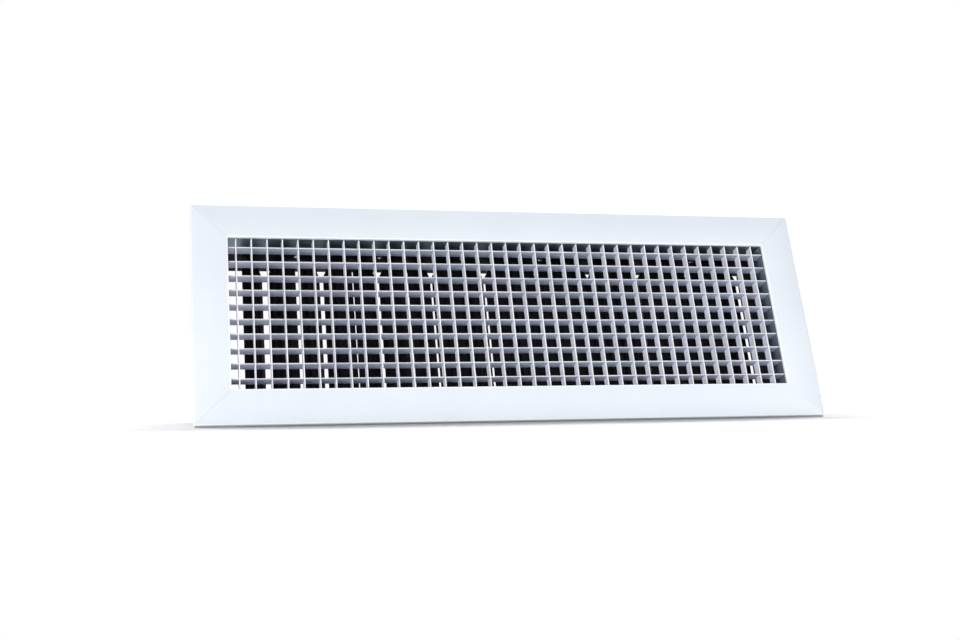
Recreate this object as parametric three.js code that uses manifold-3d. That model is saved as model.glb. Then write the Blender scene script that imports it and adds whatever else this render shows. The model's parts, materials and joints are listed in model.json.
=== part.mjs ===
// Egg-crate air grille with an opposed-blade damper behind it, for a 500 x 150 mm duct opening.
// Millimetres. X runs along the grille, Z is up, the visible face looks towards -Y. The origin is the
// centre of the wall opening, in the plane of the wall. Every profile runs round the opening: its first
// coordinate is the distance in from the flange's outer edge, its second is Y.
import * as THREE from "three";
import { mergeVertices } from "three/addons/utils/BufferGeometryUtils.js";
import Module from "manifold-3d";

// Driving dimensions
const WIDTH = 545;
const HEIGHT = 195;
const FLANGE = 30; // width of the flange on each side
const FLANGE_DEPTH = 5; // how far the face stands off the wall
const PLATE = 1.5; // wall of the flange extrusion
const LIP_DEPTH = 3; // the flange's turned-in edge at the opening
const SHEET = 1.2; // wall of the neck and of the damper frame
const GAP = 0.3; // clearance between pieces that would touch
const MITRE_GAP = 0.1; // taken off each mitred end
const NECK_REAR = 28; // where the neck ends and the damper begins
const DAMPER_DEPTH = 34.7;
const DUCT_WIDTH = 500;
const DUCT_HEIGHT = 150;
const DAMPER_WALL_X = 246.6; // inner face of the damper's end plates
const DAMPER_LIP_INSET = 0.5; // from the opening's side to the front edge of an end plate
const BOTTOM_CHANNEL = 3.9; // height of the damper's bottom channel
const CELL = 13; // pitch of the core's strips
const STRIP = 0.9; // thickness of a strip
const STRIP_DEPTH = 12;
const UPRIGHTS = 37;
const LEVELS = 10;
const CORE_CENTRE_X = -1.6; // the core is cut from a larger sheet, so it isn't centred
const CORE_CENTRE_Z = 0.65;
const EDGE_BAND = 0.8; // the bands that tie the strips' ends
const BLADES = 19;
const BLADE_PITCH = 24.6;
const BLADE_ROW_CENTRE_X = 2.8;
const PIVOT_Y = 45.4;
const BLADE_FRONT = 13.8; // chord in front of the pivot
const BLADE_REAR = 12.8; // chord behind the pivot
const BLADE_THICKNESS = 1.4;
const BLADE_EDGE = 0.5; // thickness at the bevelled front edge
const BLADE_BEVEL = 1;
const REAR_CHAMFER = 0.2;
const BLADE_END_CLEARANCE = 1.2;
const BOSS_HALF_WIDTH = 3.4;
const BOSS_CREST_HALF_WIDTH = 2.2;
const BOSS_HALF_HEIGHT = 2.9;
const CORNER_CUT = [5.5, 9.5]; // along the chord, along the blade
const SHUT_ANGLE = 11; // degrees from the face plane, of the blades nearest the adjuster
const BLADE_SKEW = 5.4; // more on odd blades and less on even ones, so that shut edges lap
const GEAR_LASH = 2.35; // degrees that each mesh lets the next blade lag
const LAGGING_BLADES = 12; // the blades furthest from the adjuster, which lag
const SLIPPED_BLADES = { 1: 2, 5: -2, 6: 12, 9: 4 }; // degrees that blades have slipped open
const PIN_RADIUS = 1.5;
const BORE_RADIUS = 1.9;
const SPINDLE_LENGTH = 6; // of a gear's spindle inside its blade
const GEAR_CLEARANCE = 0.7; // under the gears
const GEAR_TEETH = 12;
const GEAR_THICKNESS = 3.6;
const TOOTH = { root: 10.4, tip: 13.5, rootHalf: 1.75, tipHalf: 0.85 };

// Sizes that follow
const FACE_Y = -FLANGE_DEPTH;
const LIP_END_Y = FACE_Y + LIP_DEPTH;
const OPENING_X = WIDTH / 2 - FLANGE;
const OPENING_Z = HEIGHT / 2 - FLANGE;
const CORE_FRONT_Y = LIP_END_Y;
const CORE_LAP_Y = CORE_FRONT_Y + STRIP_DEPTH / 2;
const DAMPER_FRONT_Y = NECK_REAR + GAP;
const DAMPER_REAR_Y = DAMPER_FRONT_Y + DAMPER_DEPTH;
const CHANNEL_HEIGHT = DUCT_HEIGHT / 2 - OPENING_Z;
const BLADE_TOP_Z = OPENING_Z - BLADE_END_CLEARANCE;
const GEAR_Z = OPENING_Z + SHEET + GEAR_CLEARANCE;
const PIN_SIDES = 8;
const OVERLAP = 1; // how far a joined or a cutting solid runs past the face it meets

const wasm = await Module();
wasm.setup();

// Solids: a closed three.js geometry becomes a manifold to be joined or cut, and comes back.
function solid(geometry) {
  const bare = new THREE.BufferGeometry();
  const source = geometry.index ? geometry.toNonIndexed() : geometry;
  bare.setAttribute("position", source.getAttribute("position"));
  const merged = mergeVertices(bare, 1e-4);
  return new wasm.Manifold(
    new wasm.Mesh({
      numProp: 3,
      vertProperties: new Float32Array(merged.attributes.position.array),
      triVerts: new Uint32Array(merged.index.array),
    }),
  );
}

function geometryOf(manifold) {
  const mesh = manifold.getMesh();
  const geometry = new THREE.BufferGeometry();
  geometry.setAttribute("position", new THREE.BufferAttribute(mesh.vertProperties, 3));
  geometry.setIndex(new THREE.BufferAttribute(mesh.triVerts, 1));
  return geometry;
}

// An outline in the XY plane, drawn out along Z from z0 by depth.
function prism(points, z0, depth, holes = []) {
  const shape = new THREE.Shape(points.map(([x, y]) => new THREE.Vector2(x, y)));
  for (const hole of holes) {
    shape.holes.push(new THREE.Path(hole.map(([x, y]) => new THREE.Vector2(x, y))));
  }
  const geometry = new THREE.ExtrudeGeometry(shape, { depth, bevelEnabled: false, curveSegments: 1 });
  return geometry.translate(0, 0, z0);
}

function rectangle(x0, y0, x1, y1) {
  return [[x0, y0], [x1, y0], [x1, y1], [x0, y1]];
}

function roundBar(radius, x, y, z0, z1) {
  const bar = new THREE.CylinderGeometry(radius, radius, z1 - z0, PIN_SIDES);
  return bar.rotateX(Math.PI / 2).translate(x, y, (z0 + z1) / 2);
}

// An outline in the XZ plane, drawn out along Y from y0 by depth.
function plate(points, y0, depth, holes = []) {
  const lying = prism(points, 0, depth, holes);
  return lying.rotateX(Math.PI / 2).translate(0, y0 + depth, 0);
}

// One mitred side of a frame. The profile is (distance in from the outer edge, Y); the side is the top
// one, with its outer edge at z = reach and its outer length from corner to corner.
function mitredSide(profile, length, reach) {
  const bar = prism(profile, 0, length);
  const place = bar.getAttribute("position");
  for (let i = 0; i < place.count; i++) {
    const inward = place.getX(i);
    const y = place.getY(i);
    const mitre = inward + MITRE_GAP;
    const along = place.getZ(i) > length / 2 ? length - mitre : mitre;
    place.setXYZ(i, along - length / 2, y, reach - inward);
  }
  return bar;
}

const grille = new THREE.Group();

const FINISH = {
  white: { color: 0xeef2f8, roughness: 0.45, metalness: 0 },
  mill: { color: 0x8f989c, roughness: 0.35, metalness: 0.9 },
  cast: { color: 0xa9adb0, roughness: 0.6, metalness: 0.8 },
  black: { color: 0x0b0b0c, roughness: 0.55, metalness: 0 },
  nylon: { color: 0x1c1d1f, roughness: 0.5, metalness: 0 },
  spring: { color: 0xb8bcc0, roughness: 0.3, metalness: 1 },
  foam: { color: 0x2a2b2d, roughness: 0.95, metalness: 0 },
};

function add(name, geometry, finish, parent = grille) {
  const mesh = new THREE.Mesh(geometry, new THREE.MeshStandardMaterial(FINISH[finish]));
  mesh.name = name;
  parent.add(mesh);
  return mesh;
}

// The four sides of a frame, each the top side turned about Y.
const SIDES = [
  { name: "top", turn: 0, length: WIDTH, reach: HEIGHT / 2 },
  { name: "right", turn: 90, length: HEIGHT, reach: WIDTH / 2 },
  { name: "bottom", turn: 180, length: WIDTH, reach: HEIGHT / 2 },
  { name: "left", turn: 270, length: HEIGHT, reach: WIDTH / 2 },
];

function addFourSides(prefix, profile, finish) {
  for (const side of SIDES) {
    const mesh = add(`${prefix}_${side.name}`, mitredSide(profile, side.length, side.reach), finish);
    mesh.rotation.y = THREE.MathUtils.degToRad(side.turn);
  }
}

// Flange: hem against the wall, face plate, two ribs that hold the corner keys, lip at the opening.
const PLATE_BACK_Y = FACE_Y + PLATE;
const RIB_END_Y = -0.8;
const RIBS = [[12, 13], [24.2, 25.2]];

function rib([near, far]) {
  return [[far, PLATE_BACK_Y], [far, RIB_END_Y], [near, RIB_END_Y], [near, PLATE_BACK_Y]];
}

addFourSides("frame", [
  [0, 0],
  [0, FACE_Y],
  [FLANGE, FACE_Y],
  [FLANGE, LIP_END_Y],
  [FLANGE - PLATE, LIP_END_Y],
  [FLANGE - PLATE, PLATE_BACK_Y],
  ...rib(RIBS[1]),
  ...rib(RIBS[0]),
  [PLATE, PLATE_BACK_Y],
  [PLATE, 0],
], "white");

// Corner keys: flat angles that lie between the ribs of two sides.
const KEY_LEG = 50;
const KEY_THICKNESS = 2;

function cornerKey() {
  const near = RIBS[0][1] + GAP;
  const far = RIBS[1][0] - GAP;
  const angle = [[near, -near], [KEY_LEG, -near], [KEY_LEG, -far], [far, -far], [far, -KEY_LEG],
    [near, -KEY_LEG]];
  return plate(angle, PLATE_BACK_Y + GAP, KEY_THICKNESS);
}

const CORNERS = [
  { name: "top_left", turn: 0, x: -1, z: 1 },
  { name: "top_right", turn: 90, x: 1, z: 1 },
  { name: "bottom_right", turn: 180, x: 1, z: -1 },
  { name: "bottom_left", turn: 270, x: -1, z: -1 },
];
for (const corner of CORNERS) {
  const key = add(`corner_key_${corner.name}`, cornerKey(), "cast");
  key.position.set((corner.x * WIDTH) / 2, 0, (corner.z * HEIGHT) / 2);
  key.rotation.y = THREE.MathUtils.degToRad(corner.turn);
}

// Foam gasket glued to the back of the flange, between the hem and the first rib.
const GASKET_FROM = 2;
const GASKET_TO = 11.6;

function frameOutline(inset) {
  const x = WIDTH / 2 - inset;
  const z = HEIGHT / 2 - inset;
  return rectangle(-x, -z, x, z);
}

const gasketFront = PLATE_BACK_Y + GAP;
add("flange_gasket", plate(frameOutline(GASKET_FROM), gasketFront, -gasketFront,
  [frameOutline(GASKET_TO)]), "foam");

// Neck: four folded walls, flush with the opening, with a turned-out edge at each end.
const NECK_FRONT_EDGE = 25.6;
const NECK_REAR_EDGE = (HEIGHT - DUCT_HEIGHT) / 2;
const neckFront = LIP_END_Y + GAP;
addFourSides("neck", [
  [NECK_FRONT_EDGE, neckFront],
  [FLANGE, neckFront],
  [FLANGE, NECK_REAR],
  [NECK_REAR_EDGE, NECK_REAR],
  [NECK_REAR_EDGE, NECK_REAR - SHEET],
  [FLANGE - SHEET, NECK_REAR - SHEET],
  [FLANGE - SHEET, neckFront + SHEET],
  [NECK_FRONT_EDGE, neckFront + SHEET],
], "mill");

// Core: upright and level strips that cross by half-lapping. Each set is one ladder, its strips tied at
// their ends by a band; the uprights fill the front half of the lap and the levels the rear half.
function stripCentres(count, centre) {
  return Array.from({ length: count }, (_, i) => centre + (i - (count - 1) / 2) * CELL);
}

function bar(x0, x1, y0, y1, z0, z1) {
  const box = new THREE.BoxGeometry(x1 - x0, y1 - y0, z1 - z0);
  return solid(box.translate((x0 + x1) / 2, (y0 + y1) / 2, (z0 + z1) / 2));
}

function uprightLadder() {
  const centres = stripCentres(UPRIGHTS, CORE_CENTRE_X);
  const end = OPENING_Z - GAP;
  const rear = CORE_LAP_Y - GAP / 2;
  const strips = centres.map((x) => bar(x - STRIP / 2, x + STRIP / 2, CORE_FRONT_Y, rear, -end, end));
  const bands = [-end, end - EDGE_BAND].map((z) =>
    bar(centres[0], centres.at(-1), CORE_FRONT_Y, rear, z, z + EDGE_BAND));
  return geometryOf(wasm.Manifold.union([...strips, ...bands]));
}

function levelLadder() {
  const centres = stripCentres(LEVELS, CORE_CENTRE_Z);
  const end = OPENING_X - GAP;
  const front = CORE_LAP_Y + GAP / 2;
  const rear = CORE_FRONT_Y + STRIP_DEPTH;
  const strips = centres.map((z) => bar(-end, end, front, rear, z - STRIP / 2, z + STRIP / 2));
  const bands = [-end, end - EDGE_BAND].map((x) =>
    bar(x, x + EDGE_BAND, front, rear, centres[0], centres.at(-1)));
  return geometryOf(wasm.Manifold.union([...strips, ...bands]));
}

add("core_upright_strips", uprightLadder(), "white");
add("core_level_strips", levelLadder(), "white");

// Damper frame: top and bottom channels that open away from the air, and two end plates between them.
const bladeX = Array.from({ length: BLADES },
  (_, i) => BLADE_ROW_CENTRE_X + (i - (BLADES - 1) / 2) * BLADE_PITCH);

// A channel along X. side is +1 for the top, -1 for the bottom; height is how far its flanges stand out.
function channel(side, height) {
  const near = OPENING_Z;
  const web = near + SHEET;
  const far = near + height;
  const front = DAMPER_FRONT_Y;
  const rear = DAMPER_REAR_Y;
  const section = [[front, near], [rear, near], [rear, far], [rear - SHEET, far], [rear - SHEET, web],
    [front + SHEET, web], [front + SHEET, far], [front, far]];
  const length = DUCT_WIDTH;
  const bar = prism(section.map(([y, z]) => [y, side * z]), -length / 2, length);
  const lying = bar.applyMatrix4(new THREE.Matrix4().set(
    0, 0, 1, 0,
    1, 0, 0, 0,
    0, 1, 0, 0,
    0, 0, 0, 1));
  const holes = bladeX.map((x) =>
    solid(roundBar(BORE_RADIUS, x, PIVOT_Y, Math.min(side * near, side * web) - OVERLAP,
      Math.max(side * near, side * web) + OVERLAP)));
  return geometryOf(solid(lying).subtract(wasm.Manifold.union(holes)));
}

// An end plate, with an edge turned in to meet the neck and one turned out at the rear.
function endPlate(side) {
  const lip = OPENING_X + DAMPER_LIP_INSET;
  const inner = DAMPER_WALL_X;
  const outer = inner + SHEET;
  const front = DAMPER_FRONT_Y;
  const rear = DAMPER_REAR_Y;
  const section = [[lip, front], [outer, front], [outer, rear - SHEET],
    [DUCT_WIDTH / 2, rear - SHEET], [DUCT_WIDTH / 2, rear], [inner, rear], [inner, front + SHEET],
    [lip, front + SHEET]];
  const height = 2 * (OPENING_Z - GAP);
  return prism(section.map(([x, y]) => [side * x, y]), -height / 2, height);
}

add("damper_top_channel", channel(1, CHANNEL_HEIGHT), "black");
add("damper_bottom_channel", channel(-1, BOTTOM_CHANNEL), "black");
add("damper_left_plate", endPlate(-1), "black");
add("damper_right_plate", endPlate(1), "black");

// Blades. Each is drawn with its chord along X, front edge at -X, and its pivot on the Z axis, and is
// then turned: odd blades by +angle, even blades (counted from 1) mirrored and turned by -angle.
function bladeOutline() {
  const t = BLADE_THICKNESS / 2;
  const crest = BOSS_CREST_HALF_WIDTH;
  const half = [[-BLADE_FRONT, -BLADE_EDGE / 2], [-BLADE_FRONT + BLADE_BEVEL, -t],
    [-BOSS_HALF_WIDTH, -t], [-crest, -BOSS_HALF_HEIGHT], [crest, -BOSS_HALF_HEIGHT],
    [BOSS_HALF_WIDTH, -t], [BLADE_REAR - REAR_CHAMFER, -t], [BLADE_REAR, -t + REAR_CHAMFER]];
  return [...half, ...half.map(([x, y]) => [x, -y]).reverse()];
}

// The wedge that trims the rear corner at one end: end is +1 at the top, -1 at the bottom.
function cornerWedge(end) {
  const [chord, length] = CORNER_CUT;
  const x = BLADE_REAR;
  const z = BLADE_TOP_Z;
  const slope = length / chord;
  const wedge = [[x - chord - OVERLAP / slope, end * (z + OVERLAP)],
    [x + OVERLAP, end * (z + OVERLAP)], [x + OVERLAP, end * (z - length - OVERLAP * slope)]];
  return plate(wedge, -BLADE_THICKNESS, 2 * BLADE_THICKNESS);
}

function bladeSolid() {
  const body = solid(prism(bladeOutline(), -BLADE_TOP_Z, 2 * BLADE_TOP_Z));
  const pinEnd = -(OPENING_Z + BOTTOM_CHANNEL - SHEET);
  const pin = solid(roundBar(PIN_RADIUS, 0, 0, pinEnd, -BLADE_TOP_Z + OVERLAP));
  const boreEnd = BLADE_TOP_Z - SPINDLE_LENGTH - GAP;
  const bore = solid(roundBar(BORE_RADIUS, 0, 0, boreEnd, BLADE_TOP_Z + OVERLAP));
  return body.add(pin).subtract(bore).subtract(solid(cornerWedge(1))).subtract(solid(cornerWedge(-1)));
}

// A gear with stub teeth and the spindle under it. phase turns the teeth, so that neighbours mesh.
function gearSolid(phase) {
  const outline = [];
  for (let i = 0; i < GEAR_TEETH; i++) {
    const angle = ((i + phase) * 2 * Math.PI) / GEAR_TEETH;
    const turned = (r, across) => [
      r * Math.cos(angle) - across * Math.sin(angle),
      r * Math.sin(angle) + across * Math.cos(angle),
    ];
    outline.push(turned(TOOTH.root, -TOOTH.rootHalf), turned(TOOTH.tip, -TOOTH.tipHalf),
      turned(TOOTH.tip, TOOTH.tipHalf), turned(TOOTH.root, TOOTH.rootHalf));
  }
  const wheel = solid(prism(outline, GEAR_Z, GEAR_THICKNESS));
  const spindleEnd = BLADE_TOP_Z - SPINDLE_LENGTH;
  const spindle = solid(roundBar(PIN_RADIUS, 0, 0, spindleEnd, GEAR_Z + OVERLAP));
  return wheel.add(spindle);
}

// The adjuster: an angle with its foot on the last blade's front face, beside the boss, and an arm
// that stands out towards the core.
const ARM = { from: -4, footEnd: -12, reach: 15, thickness: 1.2, z: 51, width: 6 };

function adjusterArm() {
  const foot = -BLADE_THICKNESS / 2 - GAP;
  const bend = ARM.from - ARM.thickness;
  const section = [[ARM.footEnd, foot], [ARM.footEnd, foot - ARM.thickness],
    [bend, foot - ARM.thickness], [bend, -ARM.reach], [ARM.from, -ARM.reach], [ARM.from, foot]];
  return prism(section, ARM.z, ARM.width);
}

function restAngle(i) {
  const skew = i % 2 === 0 ? BLADE_SKEW : -BLADE_SKEW;
  const slip = SLIPPED_BLADES[i + 1] ?? 0;
  return SHUT_ANGLE + skew + GEAR_LASH * Math.max(0, LAGGING_BLADES - i) + slip;
}

const blade = bladeSolid();
const gears = [gearSolid(0), gearSolid(0.5)];

bladeX.forEach((x, i) => {
  const mirrored = i % 2 === 1;
  const number = String(i + 1).padStart(2, "0");
  const pivot = new THREE.Group();
  pivot.position.set(x, PIVOT_Y, 0);
  grille.add(pivot);
  const angle = THREE.MathUtils.degToRad(restAngle(i));
  const leaf = add(`blade_${number}`, geometryOf(blade), "black", pivot);
  leaf.rotation.z = mirrored ? Math.PI - angle : angle;
  add(`gear_${number}`, geometryOf(gears[i % 2]), "nylon", pivot);
  if (i === BLADES - 1) {
    const arm = add("adjuster_arm", adjusterArm(), "black", pivot);
    arm.rotation.z = angle;
  }
});

// Spring clips: a leaf on each short side of the neck, folded back on itself at the rear, whose flat
// crest grips the side of the wall opening.
const CLIP = { front: 3, bend: 21.4, fold: 23, foldWidth: 1.2, leaf: 0.8, width: 24, crestFrom: 8.5,
  crestTo: 11.5, tip: 5.5 };
const CLIP_GRIP = 1.4; // how far the crest stands past the opening's side before it is pushed in
const CLIP_TIP_DROP = 2.2;

function springClip(side) {
  const { front, bend, fold, foldWidth, leaf, width, crestFrom, crestTo, tip } = CLIP;
  const foot = OPENING_X + SHEET + GAP;
  const crest = DUCT_WIDTH / 2 + CLIP_GRIP;
  const inside = crest - leaf;
  const section = [[foot, front], [foot + leaf, front], [foot + leaf, bend],
    [inside, crestTo], [inside, crestFrom], [inside - CLIP_TIP_DROP, tip], [crest - CLIP_TIP_DROP, tip],
    [crest, crestFrom], [crest, crestTo], [foot + foldWidth, fold], [foot, fold]];
  return prism(section.map(([x, y]) => [side * x, y]), -width / 2, width);
}

add("spring_clip_left", springClip(-1), "spring");
add("spring_clip_right", springClip(1), "spring");

export default grille;
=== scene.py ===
"""Egg-crate air grille with an opposed-blade damper, leaning back on a pale floor.

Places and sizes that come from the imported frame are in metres. Other lengths are in millimetres and
are turned into metres by MM, but for the floor and the lights, which are sized and placed in metres.
"""
import json
import math
import random

import bmesh
import bpy
from mathutils import Matrix, Vector


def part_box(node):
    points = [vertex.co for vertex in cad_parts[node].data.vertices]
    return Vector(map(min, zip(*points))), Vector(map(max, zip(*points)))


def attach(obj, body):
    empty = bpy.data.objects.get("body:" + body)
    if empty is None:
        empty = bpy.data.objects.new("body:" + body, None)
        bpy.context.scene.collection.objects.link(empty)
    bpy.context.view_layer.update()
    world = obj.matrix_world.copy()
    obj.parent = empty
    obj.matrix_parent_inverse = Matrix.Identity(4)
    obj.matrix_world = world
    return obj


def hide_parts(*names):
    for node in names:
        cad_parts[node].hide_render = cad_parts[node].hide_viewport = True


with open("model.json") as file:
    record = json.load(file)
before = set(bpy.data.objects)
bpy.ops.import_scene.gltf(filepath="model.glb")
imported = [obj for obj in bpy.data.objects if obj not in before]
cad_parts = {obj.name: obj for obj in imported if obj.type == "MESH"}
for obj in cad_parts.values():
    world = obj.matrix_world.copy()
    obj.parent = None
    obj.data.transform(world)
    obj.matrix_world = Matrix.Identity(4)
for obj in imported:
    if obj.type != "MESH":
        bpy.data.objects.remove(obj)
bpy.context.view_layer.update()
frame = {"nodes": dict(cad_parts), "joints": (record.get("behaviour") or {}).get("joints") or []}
nodes = frame["nodes"]

MM = 0.001
rng = random.Random(7)

# Sizes read from the frame, in metres
flange_low, flange_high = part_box("frame_top")
HALF_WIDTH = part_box("frame_right")[1].x
HALF_HEIGHT = flange_high.z
FACE_Y = flange_low.y
WALL_Y = flange_high.y
FLANGE = round(flange_high.z - flange_low.z, 5)
OPENING_X = HALF_WIDTH - FLANGE
OPENING_Z = HALF_HEIGHT - FLANGE
CORE_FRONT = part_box("core_upright_strips")[0].y
CORE_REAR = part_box("core_level_strips")[1].y
CORE_LAP = (CORE_FRONT + CORE_REAR) / 2
CHANNEL_FRONT, CHANNEL_REAR = (corner.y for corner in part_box("damper_top_channel"))
CHANNEL_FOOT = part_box("damper_bottom_channel")[0].z
PIVOTS = [Vector(joint["pos_m"]) for joint in frame["joints"]]

SHEET = 1.2  # thickness of the neck and of the damper's frame


# ---------------------------------------------------------------- mesh helpers

def new_object(name, mesh, body, material, *replaced):
    """Links a piece, gives it its finish and body, and hides the CAD nodes it stands for."""
    piece = bpy.data.objects.new(name, mesh)
    bpy.context.scene.collection.objects.link(piece)
    if not mesh.materials:
        mesh.materials.append(material)
    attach(piece, body)
    if replaced:
        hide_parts(*replaced)
    return piece


def finish_mesh(bm, name, sharp=35):
    """Turns a bmesh into a mesh with outward normals, smooth but for edges over sharp degrees."""
    bmesh.ops.recalc_face_normals(bm, faces=bm.faces)
    mesh = bpy.data.meshes.new(name)
    bm.to_mesh(mesh)
    bm.free()
    mesh.shade_smooth()
    mesh.set_sharp_from_angle(angle=math.radians(sharp))
    return mesh


def bevel(piece, width, segments=2, angle=30):
    """A rounded edge on a piece or on a CAD node; width is in millimetres."""
    modifier = piece.modifiers.new("edge", "BEVEL")
    modifier.width = width * MM
    modifier.segments = segments
    modifier.limit_method = "ANGLE"
    modifier.angle_limit = math.radians(angle)
    modifier.harden_normals = False


def rounded(points, steps=4):
    """A closed outline from (x, y, radius) corners, each radius drawn as an arc."""
    outline = []
    count = len(points)
    for i, (x, y, radius) in enumerate(points):
        here = Vector((x, y))
        if radius == 0:
            outline.append(here)
            continue
        back = (Vector(points[i - 1][:2]) - here).normalized()
        ahead = (Vector(points[(i + 1) % count][:2]) - here).normalized()
        half = back.angle(ahead) / 2
        reach = radius / math.tan(half)
        centre = here + (back + ahead).normalized() * (radius / math.sin(half))
        start = here + back * reach - centre
        end = here + ahead * reach - centre
        turn = math.atan2(start.cross(end), start.dot(end))
        for step in range(steps + 1):
            angle = turn * step / steps
            outline.append(centre + Matrix.Rotation(angle, 2) @ start)
    return [(p[0], p[1]) for p in outline]


def prism(bm, outline, low, high, place):
    """Draws an outline out from low to high; place turns (a, b, lift) into a point."""
    rings = [[bm.verts.new(place(a, b, lift)) for a, b in outline] for lift in (low, high)]
    count = len(outline)
    bm.faces.new(rings[0][::-1])
    bm.faces.new(rings[1])
    for i in range(count):
        j = (i + 1) % count
        bm.faces.new((rings[0][i], rings[0][j], rings[1][j], rings[1][i]))


def loft(bm, rings):
    """Joins rings of points, one after the other, and closes both ends."""
    made = [[bm.verts.new(point) for point in ring] for ring in rings]
    count = len(made[0])
    for low, high in zip(made, made[1:]):
        for i in range(count):
            j = (i + 1) % count
            bm.faces.new((low[i], low[j], high[j], high[i]))
    bm.faces.new(made[0][::-1])
    bm.faces.new(made[-1])


def turned(bm, profile, centre, axis, steps=16):
    """Turns a profile of (radius, height) in millimetres; it starts and ends on the axis."""
    profile = [(radius * MM, height * MM) for radius, height in profile]
    axis = Vector(axis)
    side = axis.orthogonal().normalized()
    other = axis.cross(side)

    def point(radius, height, step):
        angle = 2 * math.pi * step / steps
        return centre + axis * height + (side * math.cos(angle) + other * math.sin(angle)) * radius

    poles = [bm.verts.new(centre + axis * profile[0][1]), bm.verts.new(centre + axis * profile[-1][1])]
    rings = [[bm.verts.new(point(r, h, s)) for s in range(steps)] for r, h in profile[1:-1]]
    for s in range(steps):
        t = (s + 1) % steps
        bm.faces.new((poles[0], rings[0][t], rings[0][s]))
        bm.faces.new((poles[1], rings[-1][s], rings[-1][t]))
        for low, high in zip(rings, rings[1:]):
            bm.faces.new((low[s], low[t], high[t], high[s]))


# ---------------------------------------------------------------- materials

# Texture scales, in features per metre
ORANGE_PEEL = 1100
COAT_GRAIN = 2600
GLOSS_PATCHES = 900
TONE_PATCHES = 18
SHEET_STREAKS = 900
SHEET_STREAK_LENGTHS = 12
SHEET_CLOUDS = 35
STRIP_STREAKS = 700
STRIP_STREAK_LENGTHS = 25
ZINC_SPANGLES = 500
ZINC_CLOUDS = 700
ZINC_GRAIN = 1500
CAST_CLOUDS = 300
CAST_GRAIN = 1400
NYLON_FLOW_LINES = 90
NYLON_PATCHES = 1200
NYLON_GRAIN = 2000
FOAM_PATCHES = 500
FOAM_PORES = 1300

NOISE_ROUGHNESS = 0.55
# width of the painted highlight along the flange's edges, in millimetres
HIGHLIGHT_WIDTH = 1.1
BRIGHT_SHEET = ((0.40, 0.42, 0.44), (0.56, 0.575, 0.59))


class Finish:
    """A node material built round one Principled shader, in the row frame's own coordinates."""

    def __init__(self, name, metallic=0.0, **sockets):
        self.material = bpy.data.materials.new(name)
        self.material.use_nodes = True
        self.tree = self.material.node_tree
        self.shader = self.tree.nodes["Principled BSDF"]
        self.shader.inputs["Metallic"].default_value = metallic
        for socket, value in sockets.items():
            self.shader.inputs[socket.replace("_", " ")].default_value = value
        self.where = self.node("ShaderNodeTexCoord").outputs["Object"]

    def node(self, kind):
        return self.tree.nodes.new(kind)

    def link(self, output, socket):
        self.tree.links.new(output, socket)

    def axes(self):
        """The X, Y and Z outputs of the place on the part."""
        node = self.node("ShaderNodeSeparateXYZ")
        self.link(self.where, node.inputs[0])
        return node.outputs

    def maths(self, operation, *values):
        """One Math node; each value is a socket or a number."""
        node = self.node("ShaderNodeMath")
        node.operation = operation
        for value, socket in zip(values, node.inputs):
            if isinstance(value, (int, float)):
                socket.default_value = value
            else:
                self.link(value, socket)
        return node.outputs[0]

    def span(self, value, start, end):
        """0 at start and 1 at end, and held beyond them."""
        node = self.node("ShaderNodeMapRange")
        node.inputs["From Min"].default_value = start
        node.inputs["From Max"].default_value = end
        self.link(value, node.inputs["Value"])
        return node.outputs["Result"]

    def stretched(self, x, y, z):
        """Coordinates that draw a texture out along the axis with the smallest scale."""
        node = self.node("ShaderNodeMapping")
        node.inputs["Scale"].default_value = (x, y, z)
        self.link(self.where, node.inputs["Vector"])
        return node.outputs["Vector"]

    def noise(self, scale, detail=3.0, where=None):
        node = self.node("ShaderNodeTexNoise")
        node.inputs["Scale"].default_value = scale
        node.inputs["Detail"].default_value = detail
        node.inputs["Roughness"].default_value = NOISE_ROUGHNESS
        self.link(where or self.where, node.inputs["Vector"])
        return node.outputs["Fac"]

    def cells(self, scale):
        node = self.node("ShaderNodeTexVoronoi")
        node.inputs["Scale"].default_value = scale
        self.link(self.where, node.inputs["Vector"])
        return node.outputs["Distance"]

    def ramp(self, factor, *stops):
        """A colour ramp from (position, colour) stops; a colour may be one grey value."""
        node = self.node("ShaderNodeValToRGB")
        elements = node.color_ramp.elements
        while len(elements) < len(stops):
            elements.new(0.5)
        for element, (position, colour) in zip(elements, stops):
            element.position = position
            grey = not isinstance(colour, tuple)
            element.color = (colour, colour, colour, 1) if grey else (*colour, 1)
        self.link(factor, node.inputs["Fac"])
        return node.outputs["Color"]

    def spread(self, noise, low, high):
        """A ramp from low to high over the middle of a noise, where most of its values lie."""
        return self.ramp(noise, (0.3, low), (0.7, high))

    def mix(self, factor, first, second):
        node = self.node("ShaderNodeMix")
        node.data_type = "RGBA"
        for value, socket in ((factor, 0), (first, 6), (second, 7)):
            if isinstance(value, tuple):
                node.inputs[socket].default_value = (*value, 1)
            else:
                self.link(value, node.inputs[socket])
        return node.outputs[2]

    def colour(self, output):
        self.link(output, self.shader.inputs["Base Color"])

    def roughness(self, noise, gloss):
        """Roughness between the two values of gloss."""
        self.link(self.spread(noise, *gloss), self.shader.inputs["Roughness"])

    def bump(self, height, distance, strength, under=None):
        """Relief of a distance in millimetres, on top of the relief under it."""
        node = self.node("ShaderNodeBump")
        node.inputs["Distance"].default_value = distance * MM
        node.inputs["Strength"].default_value = strength
        self.link(height, node.inputs["Height"])
        if under is not None:
            self.link(under, node.inputs["Normal"])
        self.link(node.outputs["Normal"], self.shader.inputs["Normal"])
        return node.outputs["Normal"]


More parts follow.
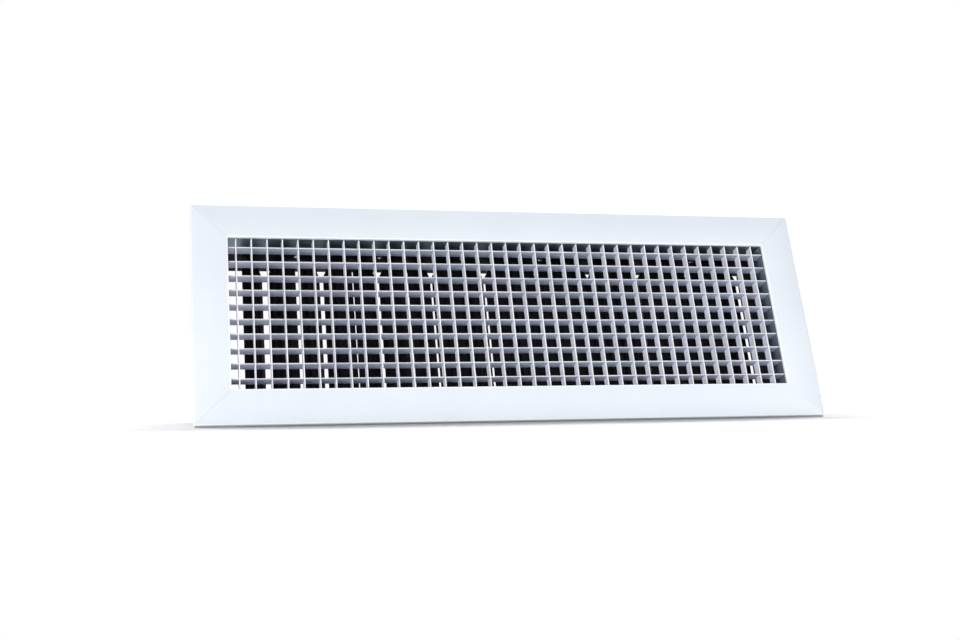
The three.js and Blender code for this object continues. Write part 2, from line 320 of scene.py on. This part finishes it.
def powder_coat(name, light, dark, gloss, painted_highlight=None, **sockets):
    """Powder coat: orange peel about a millimetre across, a faint drift of tone, and a painted
    highlight where one is given.
    """
    finish = Finish(name, **sockets)
    grain = finish.noise(COAT_GRAIN, detail=2)
    drift = finish.spread(finish.noise(TONE_PATCHES, detail=2), dark, light)
    coat = finish.mix(finish.ramp(grain, (0.35, 0.0), (0.75, 0.25)), drift, light)
    # a paler white on the flange's edges: a painted highlight
    if painted_highlight:
        coat = finish.mix(flange_highlight_rims(finish), coat, painted_highlight)
    finish.colour(coat)
    finish.roughness(finish.noise(GLOSS_PATCHES), gloss)
    peel = finish.bump(finish.noise(ORANGE_PEEL, detail=1), distance=0.02, strength=0.6)
    finish.bump(grain, distance=0.005, strength=0.5, under=peel)
    return finish.material


def flange_highlight_rims(finish):
    """1 on the flange's edge round the opening and along its foot, where a painted highlight is laid.
    """
    axes = finish.axes()
    beyond = [finish.maths("SUBTRACT", finish.maths("ABSOLUTE", axes[axis]), edge)
              for axis, edge in (("X", OPENING_X), ("Z", OPENING_Z))]
    width = HIGHLIGHT_WIDTH * MM
    fade_from = width * 0.8
    inner = finish.span(finish.maths("MAXIMUM", *beyond), width, fade_from)
    down = finish.maths("MULTIPLY", axes["Z"], -1.0)
    foot = finish.span(down, HALF_HEIGHT - width, HALF_HEIGHT - fade_from)
    return finish.maths("MAXIMUM", inner, foot)


def strip_coat_with_painted_shade(name, front, inside):
    """White coat on the strips with painted shade: bright on their front edges, darker between them, a
    little lighter again at the rear, and streaked darker.
    """
    finish = Finish(name)
    depth = finish.span(finish.axes()["Y"], CORE_FRONT, CORE_REAR)
    # painted shade: the colour darkens with depth into the cells and lightens a little at the rear
    middle = tuple((a + 2 * b) / 3 for a, b in zip(front, inside))
    rear = tuple(1.2 * c for c in inside)
    # darker streaks along the strips
    darker_streaks = tuple(0.7 * c for c in inside)
    coat = finish.ramp(depth, (0.0, front), (0.05, middle), (0.2, inside), (1.0, rear))
    along = finish.stretched(STRIP_STREAK_LENGTHS, STRIP_STREAKS, STRIP_STREAK_LENGTHS)
    streaks = finish.noise(1.0, where=along)
    finish.colour(finish.mix(finish.ramp(streaks, (0.45, 0.0), (0.7, 0.6)), coat, darker_streaks))
    finish.roughness(finish.noise(GLOSS_PATCHES), gloss=(0.38, 0.52))
    finish.bump(finish.noise(ORANGE_PEEL, detail=1), distance=0.012, strength=0.5)
    return finish.material


def mill_metal(name, light, dark, stretch, across, face):
    """Rolled sheet, streaked along its length: bright outside, and darker and bluer inside as painted
    shade.

    The inner face lies as far from the middle as face says, along the axis that across names.
    The change from painted shade to bright lies inside the sheet, where it has no surface.
    """
    finish = Finish(name, metallic=0.5)
    streaks = finish.noise(1.0, detail=4, where=finish.stretched(*stretch))
    clouds = finish.noise(SHEET_CLOUDS)
    # painted shade on the inner face, mixed with darker clouds
    shaded_inside = finish.ramp(streaks, (0.35, dark), (0.65, light))
    shaded_inside = finish.mix(finish.ramp(clouds, (0.4, 0.0), (0.8, 0.35)), shaded_inside, dark)
    bright = finish.spread(streaks, *BRIGHT_SHEET)
    out = finish.maths("ABSOLUTE", finish.axes()[across])
    skin = finish.span(out, face + 0.3 * SHEET * MM, face + 0.7 * SHEET * MM)
    finish.colour(finish.mix(skin, shaded_inside, bright))
    finish.roughness(streaks, gloss=(0.3, 0.42))
    finish.bump(streaks, distance=0.01, strength=0.4)
    return finish.material


def zinc_plate(name, light, dark):
    """Bright zinc: small spangles and a soft, uneven gloss."""
    finish = Finish(name, metallic=1.0)
    finish.colour(finish.ramp(finish.cells(ZINC_SPANGLES), (0.1, dark), (0.7, light)))
    finish.roughness(finish.noise(ZINC_CLOUDS), gloss=(0.22, 0.4))
    finish.bump(finish.noise(ZINC_GRAIN), distance=0.008, strength=0.4)
    return finish.material


def cast_metal(name, light, dark):
    """Die casting: a grainy skin with darker pits."""
    finish = Finish(name, metallic=1.0)
    grain = finish.noise(CAST_GRAIN, detail=4)
    finish.colour(finish.spread(grain, dark, light))
    finish.roughness(finish.noise(CAST_CLOUDS), gloss=(0.45, 0.65))
    finish.bump(grain, distance=0.04, strength=0.6)
    return finish.material


def moulded_nylon(name, light, dark):
    """Dark nylon: a fine moulded texture, a little paler where the flow lines run."""
    finish = Finish(name)
    finish.colour(finish.spread(finish.noise(NYLON_FLOW_LINES, detail=2), dark, light))
    finish.roughness(finish.noise(NYLON_PATCHES), gloss=(0.42, 0.6))
    finish.bump(finish.noise(NYLON_GRAIN), distance=0.02, strength=0.5)
    return finish.material


def cell_foam(name, light, dark):
    """Closed-cell foam strip: open pores on the cut face."""
    finish = Finish(name)
    pores = finish.cells(FOAM_PORES)
    finish.colour(finish.ramp(pores, (0.05, dark), (0.55, light)))
    finish.roughness(finish.noise(FOAM_PATCHES), gloss=(0.85, 1.0))
    finish.bump(pores, distance=0.25, strength=0.8)
    return finish.material


# the last colour is a painted highlight on the flange's edges
WHITE = powder_coat("flange_paint", (0.80, 0.835, 0.88), (0.77, 0.81, 0.865),
                    gloss=(0.38, 0.5), painted_highlight=(0.97, 0.98, 0.99))
# lit and shaded copies of one white coat: painted shade, deeper on the levels' undersides than on the
# uprights' sides
UPRIGHT_WHITE_LIGHT_SHADE = strip_coat_with_painted_shade("core_paint_uprights", (0.94, 0.94, 0.96), (0.83, 0.85, 0.93))
LEVEL_WHITE_DEEP_SHADE = strip_coat_with_painted_shade("core_paint_levels", (0.80, 0.78, 0.81), (0.48, 0.525, 0.64))
BLACK = powder_coat("damper_paint", (0.008, 0.008, 0.0085), (0.005, 0.005, 0.0055),
                    gloss=(0.62, 0.76), Specular_IOR_Level=0.06)
BLADE_BLACK = powder_coat("blade_paint", (0.006, 0.006, 0.0065), (0.004, 0.004, 0.0044),
                          gloss=(0.45, 0.6), Specular_IOR_Level=0.12)
# the neck's inner faces carry painted shade, deeper on the top and bottom walls than on the side walls
MILL_LONG_DEEP_SHADE = mill_metal("neck_metal_long", (0.165, 0.23, 0.285), (0.09, 0.14, 0.185),
                       (SHEET_STREAK_LENGTHS, SHEET_STREAKS, SHEET_STREAKS), "Z", OPENING_Z)
MILL_TALL_LIGHT_SHADE = mill_metal("neck_metal_tall", (0.32, 0.39, 0.46), (0.19, 0.24, 0.30),
                       (SHEET_STREAKS, SHEET_STREAKS, SHEET_STREAK_LENGTHS), "X", OPENING_X)
ZINC = zinc_plate("spring_steel", (0.72, 0.73, 0.74), (0.52, 0.53, 0.55))
CAST = cast_metal("key_metal", (0.58, 0.59, 0.61), (0.34, 0.35, 0.36))
NYLON = moulded_nylon("gear_nylon", (0.034, 0.034, 0.037), (0.018, 0.018, 0.02))
FOAM = cell_foam("gasket_foam", (0.055, 0.055, 0.058), (0.012, 0.012, 0.013))


# ---------------------------------------------------------------- flange

PLATE = 1.5  # thickness of the extrusion
LIP_DEPTH = 3.0
MITRE_GAP = 0.12
RIBS = ((12.0, 13.0), (24.2, 25.2))  # where each starts and ends, in from the outer edge
RIB_END = -0.8  # the ribs stop short of the wall
OUTER_RADIUS = 1.1
INNER_RADIUS = 0.45
HEM_RADIUS = 0.5
ROOT_RADIUS = 0.2
FOLD_RADIUS = 0.3


def flange_profile():
    """The flange's section as (distance in from its outer edge, Y), in millimetres."""
    face = FACE_Y / MM
    back = face + PLATE
    width = FLANGE / MM
    lip_end = face + LIP_DEPTH
    fold = FOLD_RADIUS
    corners = [(0, 0, fold), (0, face, OUTER_RADIUS), (width, face, INNER_RADIUS),
               (width, lip_end, fold), (width - PLATE, lip_end, fold), (width - PLATE, back, fold)]
    for near, far in RIBS[::-1]:
        corners += [(far, back, ROOT_RADIUS), (far, RIB_END, fold), (near, RIB_END, fold),
                    (near, back, ROOT_RADIUS)]
    corners += [(PLATE, back, HEM_RADIUS), (PLATE, 0, fold)]
    return rounded(corners)


def mitred_side(name, profile, half_length, reach, turn):
    """One side of the flange: the top one, turned about Y, with its ends cut at 45 degrees."""
    bm = bmesh.new()
    spin = Matrix.Rotation(math.radians(turn), 3, "Y")
    rings = []
    for end in (-1, 1):
        ring = []
        for inward, y in profile:
            x = end * (half_length - (inward + MITRE_GAP / 2) * MM)
            ring.append(spin @ Vector((x, y * MM, reach - inward * MM)))
        rings.append(ring)
    loft(bm, rings)
    return finish_mesh(bm, name, sharp=40)


def make_flange():
    profile = flange_profile()
    sides = (("top", 0, HALF_WIDTH, HALF_HEIGHT), ("right", 90, HALF_HEIGHT, HALF_WIDTH),
             ("bottom", 180, HALF_WIDTH, HALF_HEIGHT), ("left", 270, HALF_HEIGHT, HALF_WIDTH))
    for side, turn, half_length, reach in sides:
        mesh = mitred_side(f"flange_{side}", profile, half_length, reach, turn)
        piece = new_object(f"flange_{side}", mesh, "root", WHITE, f"frame_{side}")


make_flange()


# ---------------------------------------------------------------- core

UPRIGHTS = 37
LEVELS = 10
CELL = 13.0
STRIP = 0.9
UPRIGHT_DEPTH = 8.8  # the uprights are cut from narrower strip than the levels
SLOT_PLAY = 0.12
END_PLAY = 0.3
STRIP_WANDER = 0.10
STRIP_EDGE = 0.14


def strip_centres(count, node, axis):
    """Centres of the strips, spread at the cell's pitch about the middle of the CAD ladder."""
    low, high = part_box(node)
    middle = (low[axis] + high[axis]) / 2
    return [middle + (i - (count - 1) / 2) * CELL * MM for i in range(count)]


def slotted_outline(end, slots, slot_from, slot_to, front, rear):
    """The side of a strip, as (along, Y) points, with a half-lap slot at each crossing strip."""
    half = (STRIP + SLOT_PLAY) / 2 * MM
    plain, slotted = (front, rear) if slot_to == rear else (rear, front)
    outline = [(-end, plain), (end, plain), (end, slotted)]
    for centre in reversed(slots):
        outline += [(centre + half, slotted), (centre + half, slot_from),
                    (centre - half, slot_from), (centre - half, slotted)]
    return outline + [(-end, slotted)]


def make_core():
    """Each strip lies a little off its place, as thin slotted strip does."""
    uprights = strip_centres(UPRIGHTS, "core_upright_strips", 0)
    levels = strip_centres(LEVELS, "core_level_strips", 2)
    half = STRIP / 2 * MM
    wander = STRIP_WANDER * MM

    upright_rear = CORE_FRONT + UPRIGHT_DEPTH * MM
    upright_outline = slotted_outline(OPENING_Z - END_PLAY * MM, levels, CORE_LAP, upright_rear,
                                      CORE_FRONT, upright_rear)
    bm = bmesh.new()
    for x in uprights:
        shift = rng.uniform(-wander, wander)
        prism(bm, upright_outline, -half, half,
              lambda z, y, lift: Vector((x + shift + lift, y, z)))
    mesh = finish_mesh(bm, "core_uprights")
    piece = new_object("core_uprights", mesh, "root", UPRIGHT_WHITE_LIGHT_SHADE, "core_upright_strips")
    bevel(piece, STRIP_EDGE)

    level_outline = slotted_outline(OPENING_X - END_PLAY * MM, uprights, CORE_LAP, CORE_FRONT,
                                    CORE_FRONT, CORE_REAR)
    bm = bmesh.new()
    for z in levels:
        shift = rng.uniform(-wander, wander) / 2
        prism(bm, level_outline, -half, half,
              lambda x, y, lift: Vector((x, y, z + shift + lift)))
    mesh = finish_mesh(bm, "core_levels")
    piece = new_object("core_levels", mesh, "root", LEVEL_WHITE_DEEP_SHADE, "core_level_strips")
    bevel(piece, STRIP_EDGE)


make_core()


# ---------------------------------------------------------------- neck, damper frame, keys, gasket

FOLDED_EDGE = 0.25
STAMPED_EDGE = 0.2
CAST_EDGE = 0.3


def refinish(node, material, edge=0.0):
    """A CAD node whose shape is right: a better material and softly broken edges."""
    piece = nodes[node]
    piece.data.materials.clear()
    piece.data.materials.append(material)
    if edge:
        bevel(piece, edge)


for side in ("top", "bottom"):
    refinish(f"neck_{side}", MILL_LONG_DEEP_SHADE, FOLDED_EDGE)
    refinish(f"damper_{side}_channel", BLACK, FOLDED_EDGE)
for side in ("left", "right"):
    refinish(f"neck_{side}", MILL_TALL_LIGHT_SHADE, FOLDED_EDGE)
    refinish(f"damper_{side}_plate", BLACK, FOLDED_EDGE)
    refinish(f"spring_clip_{side}", ZINC, STAMPED_EDGE)
    for level in ("top", "bottom"):
        refinish(f"corner_key_{level}_{side}", CAST, CAST_EDGE)
refinish("flange_gasket", FOAM)
refinish("adjuster_arm", BLADE_BLACK, STAMPED_EDGE)


RIVETS = 6
RIVET_SPACING = 3  # blade pitches
RIVET_INSET = 2.9  # behind the channel's front edge
RIVET_HEAD = ((0, 0), (2.3, 0), (2.3, 0.2), (1.9, 0.5), (1.1, 0.7), (0, 0.75))
RIVET_TAIL = ((0, 0), (1.6, 0), (1.75, 0.7), (1.5, 1.2), (0, 1.4))


def make_rivets():
    """Rivets through the webs of the channels, half way between blades, that hold the neck's tabs."""
    pitch = PIVOTS[1].x - PIVOTS[0].x
    middle = (PIVOTS[0].x + PIVOTS[-1].x) / 2
    y = CHANNEL_FRONT + RIVET_INSET * MM
    for side, up in (("top", 1), ("bottom", -1)):
        bm = bmesh.new()
        for i in range(RIVETS):
            x = middle + (i - (RIVETS - 1) / 2) * RIVET_SPACING * pitch
            inside = Vector((x, y, up * OPENING_Z))
            outside = Vector((x, y, up * (OPENING_Z + SHEET * MM)))
            turned(bm, RIVET_HEAD, inside, (0, 0, -up))
            turned(bm, RIVET_TAIL, outside, (0, 0, up))
        piece = new_object(f"damper_{side}_rivets", finish_mesh(bm, f"rivets_{side}"), "root", ZINC)


make_rivets()


# ---------------------------------------------------------------- blades and gears

BLADE_FRONT = 13.8  # both edges are measured from the pivot
BLADE_REAR = 12.8
BLADE_TOP = 66.3  # half the blade's length
BLADE_THICKNESS = 1.4
CORNER_CUT = (5.5, 9.5)  # along the chord, along the blade
CUT_FROM = 3.4  # the cut pulls in what lies further back than this
TIP_HALF = 0.25
TIP_LENGTH = 1.0
REAR_ROUND = 0.2
SWAGE_X = 7.6
SWAGE = ((-1.6, 0), (-0.8, 0.3), (0.8, 0.3), (1.6, 0))
BOSS_HALF = 3.1
BOSS_RISE = 2.2
BOSS_STEPS = 8
PIN_RADIUS = 1.5
PIN = ((0, 0), (PIN_RADIUS, 0), (PIN_RADIUS, 3.2), (1.2, 3.6), (0, 3.6))

# Degrees that the blades stand open at rest
REST_ANGLE = 11
BLADE_SKEW = 5.4  # odd blades stand open by this much more, and even blades by this much less
GEAR_LASH = 2.35  # from each lagging blade to the next, away from the adjuster
LAGGING_BLADES = 12  # counted from the end away from the adjuster
SLIPPED_BLADES = {1: 2, 5: -2, 6: 12, 9: 4}  # what these blades, by number, add to the rule

GEAR_TEETH = 12
GEAR_LIFT = 0.7
GEAR_THICKNESS = 3.6
TOOTH = ((10.4, -1.75), (12.2, -1.35), (13.3, -0.8), (13.5, 0),  # out from the axis, across the tooth
         (13.3, 0.8), (12.2, 1.35), (10.4, 1.75))
HUB = ((0, 0), (4.6, 0), (4.6, 0.5), (4.3, 0.8), (2.6, 0.8), (2.6, 0.2), (0, 0.2))


def swage(middle, half):
    """A shallow bead rolled into the blade, to stiffen it."""
    return [(middle + x, half + rise) for x, rise in SWAGE]


def blade_section():
    """A thinned front edge, a boss on the pivot, two swages and a rear edge with broken corners."""
    half = BLADE_THICKNESS / 2
    upper = [(-BLADE_FRONT, TIP_HALF), (-BLADE_FRONT + TIP_LENGTH, half)]
    upper += swage(-SWAGE_X, half)
    for step in range(BOSS_STEPS + 1):
        angle = math.pi * (1 - step / BOSS_STEPS)
        upper.append((BOSS_HALF * math.cos(angle), half + BOSS_RISE * math.sin(angle)))
    upper += swage(SWAGE_X, half)
    upper += [(BLADE_REAR - REAR_ROUND, half),
              (BLADE_REAR - REAR_ROUND * 0.3, half - REAR_ROUND * 0.3),
              (BLADE_REAR, half - REAR_ROUND)]
    return upper + [(x, -y) for x, y in reversed(upper)]


def blade_mesh():
    """The section drawn along Z, with both rear corners trimmed, and a pin below."""
    section = blade_section()
    cut, length = CORNER_CUT
    trims = ((-BLADE_TOP, cut), (-BLADE_TOP + length, 0), (BLADE_TOP - length, 0), (BLADE_TOP, cut))
    rings = []
    for z, trim in trims:
        share = trim / (BLADE_REAR - CUT_FROM)
        ring = []
        for x, y in section:
            pulled = x - max(0.0, x - CUT_FROM) * share
            ring.append(Vector((pulled, y, z)) * MM)
        rings.append(ring)
    bm = bmesh.new()
    loft(bm, rings)
    turned(bm, PIN, Vector((0, 0, -BLADE_TOP * MM)), (0, 0, -1))
    return finish_mesh(bm, "damper_blade")


def gear_mesh(phase):
    """A stub-toothed nylon gear with a hub above and a spindle below."""
    low = OPENING_Z + (SHEET + GEAR_LIFT) * MM
    high = low + GEAR_THICKNESS * MM
    outline = []
    for tooth in range(GEAR_TEETH):
        angle = (tooth + phase) * 2 * math.pi / GEAR_TEETH
        for radius, across in TOOTH:
            x = radius * math.cos(angle) - across * math.sin(angle)
            y = radius * math.sin(angle) + across * math.cos(angle)
            outline.append((x * MM, y * MM))
    bm = bmesh.new()
    prism(bm, outline, low, high, lambda a, b, lift: Vector((a, b, lift)))
    turned(bm, HUB, Vector((0, 0, high)), (0, 0, 1), steps=24)
    reach = low / MM - BLADE_TOP
    spindle = ((0, 0), (PIN_RADIUS, 0), (PIN_RADIUS, reach), (0, reach))
    turned(bm, spindle, Vector((0, 0, low)), (0, 0, -1))
    return finish_mesh(bm, "gear")


def make_leaves():
    """A blade and a gear on each pivot; even blades are turned round and lean the other way."""
    blade = blade_mesh()
    gears = [gear_mesh(0), gear_mesh(0.5)]
    for i, pivot in enumerate(PIVOTS):
        number = f"{i + 1:02d}"
        skew = -BLADE_SKEW if i % 2 else BLADE_SKEW
        lag = GEAR_LASH * max(0, LAGGING_BLADES - i)
        angle = math.radians(REST_ANGLE + skew + lag + SLIPPED_BLADES.get(i + 1, 0))
        turn = math.pi - angle if i % 2 else angle
        place = Matrix.Translation(pivot)
        for name, mesh, spin, material, slot in (
                ("blade", blade, turn, BLADE_BLACK, "blade_paint"),
                ("gear", gears[i % 2], 0.0, NYLON, "gear_nylon")):
            piece = bpy.data.objects.new(f"{name}_leaf_{number}", mesh)
            bpy.context.scene.collection.objects.link(piece)
            if not mesh.materials:
                mesh.materials.append(material)
            piece.matrix_world = place @ Matrix.Rotation(spin, 4, "Z")
            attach(piece, f"leaf_{number}")
            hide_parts(f"{name}_{number}")


make_leaves()


# ---------------------------------------------------------------- floor, light and camera

FLOOR_HALF = 0.9
FLOOR_FADE = (0.38, 0.8)  # distances from the part's origin at which it starts and ends
FLOOR_COLOUR = (0.93, 0.93, 0.94, 1)
WHITE_LIGHT = (1.0, 1.0, 1.0)
COOL_LIGHT = (0.96, 0.98, 1.0)
SKY_COLOUR = (0.90, 0.95, 1.0, 1)
CAMERA_LENS = 50.62
CAMERA_SENSOR = 36
CAMERA_SEAT = Vector((-317.4, -1030.1, -439.7)) * MM
CAMERA_AIM = Vector((-32.7, -5.0, -7.5)) * MM


def lean_frame():
    """The floor's origin and axes: it touches the flange's foot and the damper's lower rear edge."""
    foot = Vector((0, WALL_Y, -HALF_HEIGHT))
    heel = Vector((0, CHANNEL_REAR, CHANNEL_FOOT))
    back = (heel - foot).normalized()
    up = Vector((1, 0, 0)).cross(back)
    return foot, back, up


FLOOR_POINT, FLOOR_BACK, FLOOR_UP = lean_frame()


def on_floor(x, y, z):
    """A point from its place on the floor: x along the grille, y away from the camera, z up."""
    return FLOOR_POINT + Vector((x, 0, 0)) + FLOOR_BACK * y + FLOOR_UP * z


def floor_material():
    """Pale and fading to clear, a disc to the eye; it is clear from below."""
    material = bpy.data.materials.new("floor")
    material.use_nodes = True
    tree = material.node_tree
    shader = tree.nodes["Principled BSDF"]
    shader.inputs["Roughness"].default_value = 0.6
    shader.inputs["Base Color"].default_value = FLOOR_COLOUR
    clear = tree.nodes.new("ShaderNodeBsdfTransparent")
    mix = tree.nodes.new("ShaderNodeMixShader")
    side = tree.nodes.new("ShaderNodeNewGeometry")
    where = tree.nodes.new("ShaderNodeTexCoord")
    reach = tree.nodes.new("ShaderNodeVectorMath")
    reach.operation = "LENGTH"
    fade = tree.nodes.new("ShaderNodeMapRange")
    fade.interpolation_type = "SMOOTHSTEP"
    fade.inputs["From Min"].default_value, fade.inputs["From Max"].default_value = FLOOR_FADE
    hidden = tree.nodes.new("ShaderNodeMath")
    hidden.operation = "MAXIMUM"
    tree.links.new(where.outputs["Object"], reach.inputs[0])
    tree.links.new(reach.outputs["Value"], fade.inputs["Value"])
    tree.links.new(fade.outputs["Result"], hidden.inputs[0])
    tree.links.new(side.outputs["Backfacing"], hidden.inputs[1])
    tree.links.new(hidden.outputs[0], mix.inputs[0])
    tree.links.new(shader.outputs[0], mix.inputs[1])
    tree.links.new(clear.outputs[0], mix.inputs[2])
    tree.links.new(mix.outputs[0], tree.nodes["Material Output"].inputs["Surface"])
    return material


def make_floor():
    """A square big enough for its material to fade out before its edges."""
    bm = bmesh.new()
    corners = [(-FLOOR_HALF, -FLOOR_HALF), (FLOOR_HALF, -FLOOR_HALF), (FLOOR_HALF, FLOOR_HALF),
               (-FLOOR_HALF, FLOOR_HALF)]
    bm.faces.new([bm.verts.new(on_floor(x, y, 0)) for x, y in corners])
    mesh = bpy.data.meshes.new("floor")
    bm.to_mesh(mesh)
    bm.free()
    floor = bpy.data.objects.new("floor", mesh)
    bpy.context.scene.collection.objects.link(floor)
    mesh.materials.append(floor_material())
    return floor


def softbox(name, place, target, size, power, colour, flagged=None):
    """A soft light aimed at a target; a flagged object gets none of its light."""
    light = bpy.data.lights.new(name, "AREA")
    light.shape = "RECTANGLE"
    light.size, light.size_y = size
    light.energy = power
    light.color = colour
    lamp = bpy.data.objects.new(name, light)
    bpy.context.scene.collection.objects.link(lamp)
    lamp.location = place
    lamp.rotation_euler = (target - place).to_track_quat("-Z", "Y").to_euler()
    if flagged:
        shade = bpy.data.collections.new(f"{name}_flag")
        shade.objects.link(flagged)
        shade.collection_objects[0].light_linking.link_state = "EXCLUDE"
        lamp.light_linking.receiver_collection = shade


def make_world(seen, lit):
    """A white backdrop for the camera and a softer sky for the light."""
    world = bpy.data.worlds.new("studio")
    bpy.context.scene.world = world
    world.use_nodes = True
    tree = world.node_tree
    tree.nodes.clear()
    output = tree.nodes.new("ShaderNodeOutputWorld")
    mix = tree.nodes.new("ShaderNodeMixShader")
    path = tree.nodes.new("ShaderNodeLightPath")
    backdrop = tree.nodes.new("ShaderNodeBackground")
    backdrop.inputs["Color"].default_value = (1, 1, 1, 1)
    backdrop.inputs["Strength"].default_value = seen
    sky = tree.nodes.new("ShaderNodeBackground")
    sky.inputs["Color"].default_value = SKY_COLOUR
    sky.inputs["Strength"].default_value = lit
    tree.links.new(path.outputs["Is Camera Ray"], mix.inputs[0])
    tree.links.new(sky.outputs[0], mix.inputs[1])
    tree.links.new(backdrop.outputs[0], mix.inputs[2])
    tree.links.new(mix.outputs[0], output.inputs["Surface"])


def make_camera():
    """Level with the floor, low and to the left, looking up the leaning face."""
    camera = bpy.data.cameras.new("camera")
    camera.lens = CAMERA_LENS
    camera.sensor_width = CAMERA_SENSOR
    seat = bpy.data.objects.new("camera", camera)
    bpy.context.scene.collection.objects.link(seat)
    forward = (CAMERA_AIM - CAMERA_SEAT).normalized()
    right = forward.cross(FLOOR_UP).normalized()
    up = right.cross(forward)
    turn = Matrix((right, up, -forward)).transposed().to_4x4()
    seat.matrix_world = Matrix.Translation(CAMERA_SEAT) @ turn
    bpy.context.scene.camera = seat


floor = make_floor()
make_world(seen=1.0, lit=0.25)
centre = Vector((0, 0, 0))
softbox("key", on_floor(-3.9, -4.5, 1.2), centre, size=(2.4, 1.8), power=238, colour=WHITE_LIGHT,
        flagged=floor)
softbox("fill", on_floor(2.4, -4.0, 2.6), centre, size=(2.0, 2.0), power=73, colour=COOL_LIGHT,
        flagged=floor)
softbox("back", on_floor(0, 1.35, 2.25), on_floor(0, -0.1, 0), size=(7.0, 0.5), power=172,
        colour=WHITE_LIGHT)
make_camera()

scene = bpy.context.scene
scene.view_settings.view_transform = "Standard"
scene.view_settings.look = "None"

bpy.context.view_layer.update()
